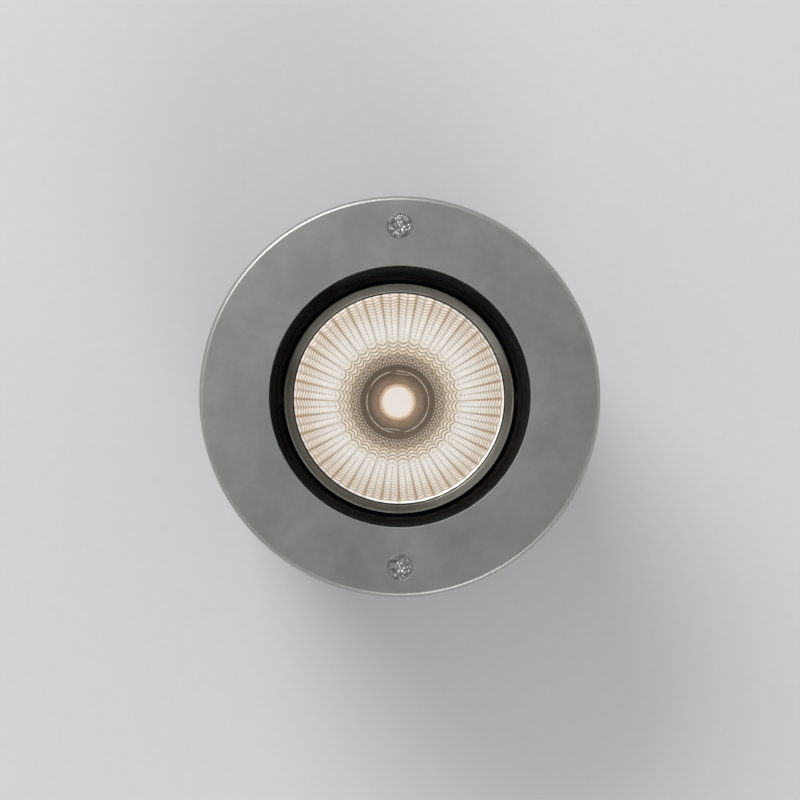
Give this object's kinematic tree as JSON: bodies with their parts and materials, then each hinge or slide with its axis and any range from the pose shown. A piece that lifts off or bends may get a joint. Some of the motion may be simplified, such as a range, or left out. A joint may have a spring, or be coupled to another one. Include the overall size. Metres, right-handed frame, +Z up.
{
  "type": "recessed floor light",
  "caption": "Round recessed floor light with a steel trim, clear glass, and a faceted reflector that turns and tilts in a dark well above its driver chamber.",
  "frame": {"origin": "on the light's axis at finished ground level, which is the underside of the trim's outer lip", "axes": "+Z up out of the ground along the light's axis, +Y towards one trim screw, X along the optic's tilt axis"},
  "size_m": [0.15, 0.15, 0.1829],
  "materials": {
    "trim_steel": "316 stainless, blasted and lightly brushed",
    "screw_steel": "stainless, plain",
    "terminal_metal": "plated brass",
    "glass": "clear toughened soda-lime glass",
    "silicone": "black silicone",
    "cast_black": "die-cast, black powder coat",
    "ring_black": "machined, black anodised",
    "spring_steel": "phosphated spring steel",
    "bezel_grey": "turned, satin anodised",
    "reflector": "bright metallised facets",
    "holder": "moulded, satin",
    "board": "white solder mask on metal core",
    "dam": "yellowish translucent silicone",
    "phosphor": "phosphor in silicone, lit",
    "pad": "grey thermal pad",
    "sink": "extruded, plain",
    "driver_case": "moulded case",
    "terminal_plastic": "moulded polyamide",
    "gland_plastic": "moulded polyamide",
    "bush": "moulded acetal",
    "sleeve_plastic": "moulded polypropylene"
  },
  "bodies": {
    "root": {"bottom_cover": "cast_black", "breather_locknut": "gland_plastic", "breather_plug": "gland_plastic", "clamp_ring": "cast_black", "clamp_screws": "screw_steel", "cover_screws": "screw_steel", "cover_seal": "silicone", "driver": "driver_case", "driver_chamber": "cast_black", "driver_screws": "screw_steel", "earth_screw": "screw_steel", "gland_bodies": "gland_plastic", "gland_caps": "gland_plastic", "gland_locknuts": "gland_plastic", "gland_seals": "silicone", "gland_washers": "silicone", "glass": "glass", "glass_gasket": "silicone", "ground_sleeve": "sleeve_plastic", "housing": "cast_black", "housing_flange": "cast_black", "lead_grommet": "silicone", "retaining_ring": "spring_steel", "sleeve_inserts": "terminal_metal", "terminal_block": "terminal_plastic", "terminal_fixings": "terminal_metal", "terminal_screws": "terminal_metal", "trim_ring": "trim_steel", "trim_screws": "screw_steel"},
    "turning_ring": {"turning_ring": "ring_black", "pivot_screws": "screw_steel", "pivot_washers": "screw_steel"},
    "optic": {"optic_bezel": "bezel_grey", "optic_cage": "ring_black", "cage_screws": "screw_steel", "reflector": "reflector", "phosphor_disc": "phosphor", "dam_ring": "dam", "led_board": "board", "thermal_pad": "pad", "led_holder": "holder", "holder_screws": "screw_steel", "heat_sink": "sink", "pivot_bushes": "bush"}
  },
  "joints": [
    {"name": "turn", "type": "hinge", "parent": "root", "child": "turning_ring", "pos_m": [0, 0, -0.03028], "axis": [0, 0, 1], "range_deg": [-175, 175]},
    {"name": "tilt", "type": "hinge", "parent": "turning_ring", "child": "optic", "pos_m": [0, 0, -0.03028], "axis": [1, 0, 0], "range_deg": [-15, 15]}
  ]
}
